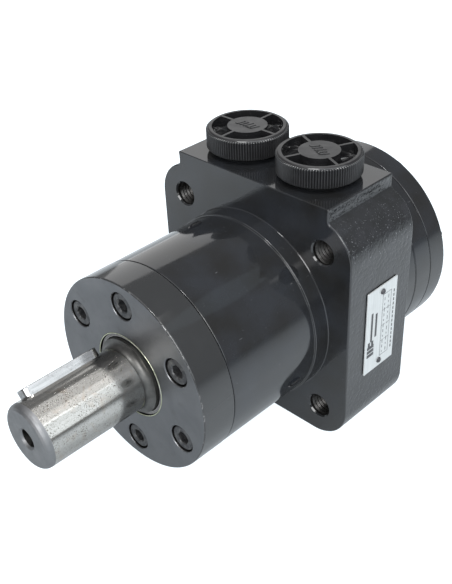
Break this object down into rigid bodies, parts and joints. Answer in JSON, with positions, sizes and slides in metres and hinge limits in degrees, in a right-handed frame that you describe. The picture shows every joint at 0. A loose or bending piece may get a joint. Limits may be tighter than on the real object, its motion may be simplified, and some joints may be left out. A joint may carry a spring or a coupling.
{
  "type": "hydraulic motor",
  "caption": "Roller-gerotor hydraulic motor with a long round nose, a square pilot flange with a raised port block, knurled port plugs and a keyed straight shaft.",
  "frame": {"origin": "centre of the mounting pilot, on the shaft axis in the plane of the flange's front face", "axes": "-Y out along the output shaft, +Y towards the end cover, +Z out of the port face, +X out of the side with the nameplate"},
  "size_m": [0.1277, 0.2397, 0.1456],
  "materials": {
    "black_paint": "gloss black enamel over cast iron, rough casting on the block's sides",
    "cover_steel": "bare turned steel, dark satin",
    "shaft_steel": "ground, with small pits and a trace of rust",
    "black_oxide": "black oxide on hardened steel",
    "hard_steel": "ground bearing steel",
    "rubber": "matt nitrile",
    "black_plastic": "moulded black polyethylene",
    "plate_aluminium": "printed aluminium"
  },
  "bodies": {
    "motor_body": {"body_seal_front": "rubber", "body_seal_rear": "rubber", "cover_o_ring": "rubber", "dust_seal": "rubber", "end_cover": "black_paint", "end_cover_bolt_1": "black_oxide", "end_cover_bolt_2": "black_oxide", "end_cover_bolt_3": "black_oxide", "end_cover_bolt_4": "black_oxide", "end_cover_bolt_5": "black_oxide", "end_cover_bolt_6": "black_oxide", "end_cover_bolt_7": "black_oxide", "front_bearing_outer_race": "hard_steel", "front_cover": "cover_steel", "front_cover_screw_1": "black_oxide", "front_cover_screw_2": "black_oxide", "front_cover_screw_3": "black_oxide", "front_cover_screw_4": "black_oxide", "front_cover_screw_5": "black_oxide", "front_cover_screw_6": "black_oxide", "housing": "black_paint", "nameplate": "plate_aluminium", "nameplate_rivet_lower": "black_oxide", "nameplate_rivet_upper": "black_oxide", "rear_bearing_outer_race": "hard_steel", "seal_backup_ring": "hard_steel", "seal_spacer": "hard_steel", "shaft_seal": "rubber", "stator_ring": "black_paint", "thrust_washer_front": "hard_steel", "valve_plate": "hard_steel", "wear_plate": "hard_steel"},
    "shaft": {"output_shaft": "shaft_steel", "shaft_key": "shaft_steel", "front_bearing_inner_race": "hard_steel", "thrust_washer_rear": "hard_steel"},
    "front_roller_cage": {"front_bearing_rollers": "hard_steel"},
    "rear_roller_cage": {"rear_bearing_rollers": "hard_steel"},
    "thrust_roller_cage": {"thrust_bearing_rollers": "hard_steel"},
    "orbiting_spacer": {"drive_spacer": "hard_steel"},
    "gerotor_rotor": {"rotor": "hard_steel"},
    "dog_bone_link": {"drive_link": "hard_steel"},
    "left_washer": {"plug_washer_left": "rubber"},
    "left_plug": {"port_plug_left": "black_plastic"},
    "right_washer": {"plug_washer_right": "rubber"},
    "right_plug": {"port_plug_right": "black_plastic"},
    "roller_1": {"stator_roller_1": "hard_steel"},
    "roller_2": {"stator_roller_2": "hard_steel"},
    "roller_3": {"stator_roller_3": "hard_steel"},
    "roller_4": {"stator_roller_4": "hard_steel"},
    "roller_5": {"stator_roller_5": "hard_steel"},
    "roller_6": {"stator_roller_6": "hard_steel"},
    "roller_7": {"stator_roller_7": "hard_steel"}
  },
  "joints": [
    {"name": "shaft_spin", "type": "hinge", "parent": "motor_body", "child": "shaft", "pos_m": [0, 0, 0], "axis": [0, 1, 0], "continuous": true},
    {"name": "front_cage_spin", "type": "hinge", "parent": "motor_body", "child": "front_roller_cage", "pos_m": [0, -0.04245, 0], "axis": [0, 1, 0], "continuous": true},
    {"name": "rear_cage_spin", "type": "hinge", "parent": "motor_body", "child": "rear_roller_cage", "pos_m": [0, 0, 0], "axis": [0, 1, 0], "continuous": true},
    {"name": "thrust_cage_spin", "type": "hinge", "parent": "motor_body", "child": "thrust_roller_cage", "pos_m": [0, -0.0559, 0], "axis": [0, 1, 0], "continuous": true},
    {"name": "rotor_orbit", "type": "hinge", "parent": "motor_body", "child": "orbiting_spacer", "pos_m": [0, 0, 0], "axis": [0, 1, 0], "continuous": true},
    {"name": "rotor_spin", "type": "hinge", "parent": "orbiting_spacer", "child": "gerotor_rotor", "pos_m": [-0.00018, 0, 0.00279], "axis": [0, 1, 0], "continuous": true},
    {"name": "link_spin", "type": "hinge", "parent": "orbiting_spacer", "child": "dog_bone_link", "pos_m": [0, -0.006, 0], "axis": [-0.0023, 0.9994, 0.0349], "continuous": true},
    {"name": "roller_1_spin", "type": "hinge", "parent": "motor_body", "child": "roller_1", "pos_m": [-0.00202, 0.07445, 0.03113], "axis": [0, 1, 0], "continuous": true},
    {"name": "roller_2_spin", "type": "hinge", "parent": "motor_body", "child": "roller_2", "pos_m": [0.02308, 0.07445, 0.02099], "axis": [0, 1, 0], "continuous": true},
    {"name": "roller_3_spin", "type": "hinge", "parent": "motor_body", "child": "roller_3", "pos_m": [0.0308, 0.07445, -0.00496], "axis": [0, 1, 0], "continuous": true},
    {"name": "roller_4_spin", "type": "hinge", "parent": "motor_body", "child": "roller_4", "pos_m": [0.01533, 0.07445, -0.02717], "axis": [0, 1, 0], "continuous": true},
    {"name": "roller_5_spin", "type": "hinge", "parent": "motor_body", "child": "roller_5", "pos_m": [-0.01169, 0.07445, -0.02893], "axis": [0, 1, 0], "continuous": true},
    {"name": "roller_6_spin", "type": "hinge", "parent": "motor_body", "child": "roller_6", "pos_m": [-0.0299, 0.07445, -0.0089], "axis": [0, 1, 0], "continuous": true},
    {"name": "roller_7_spin", "type": "hinge", "parent": "motor_body", "child": "roller_7", "pos_m": [-0.0256, 0.07445, 0.01783], "axis": [0, 1, 0], "continuous": true},
    {"name": "left_plug_travel", "type": "slide", "parent": "motor_body", "child": "left_washer", "axis": [0, 0, 1], "range_m": [0, 0.013]},
    {"name": "left_plug_turn", "type": "hinge", "parent": "left_washer", "child": "left_plug", "pos_m": [-0.0232, 0.0246, 0.0774], "axis": [0, 0, 1], "range_deg": [0, 2580.5]},
    {"name": "right_plug_travel", "type": "slide", "parent": "motor_body", "child": "right_washer", "axis": [0, 0, 1], "range_m": [0, 0.013]},
    {"name": "right_plug_turn", "type": "hinge", "parent": "right_washer", "child": "right_plug", "pos_m": [0.0232, 0.0246, 0.0774], "axis": [0, 0, 1], "range_deg": [0, 2580.5]}
  ],
  "couplings": [
    {"joint": "front_cage_spin", "follows": "shaft_spin", "ratio": 0.4617},
    {"joint": "rear_cage_spin", "follows": "shaft_spin", "ratio": 0.4696},
    {"joint": "thrust_cage_spin", "follows": "shaft_spin", "ratio": 0.5},
    {"joint": "rotor_orbit", "follows": "shaft_spin", "ratio": -6},
    {"joint": "rotor_spin", "follows": "shaft_spin", "ratio": 7},
    {"joint": "link_spin", "follows": "shaft_spin", "ratio": 7},
    {"joint": "left_plug_turn", "follows": "left_plug_travel", "rad_per_m": 3463.2},
    {"joint": "right_plug_turn", "follows": "right_plug_travel", "rad_per_m": 3463.2}
  ]
}
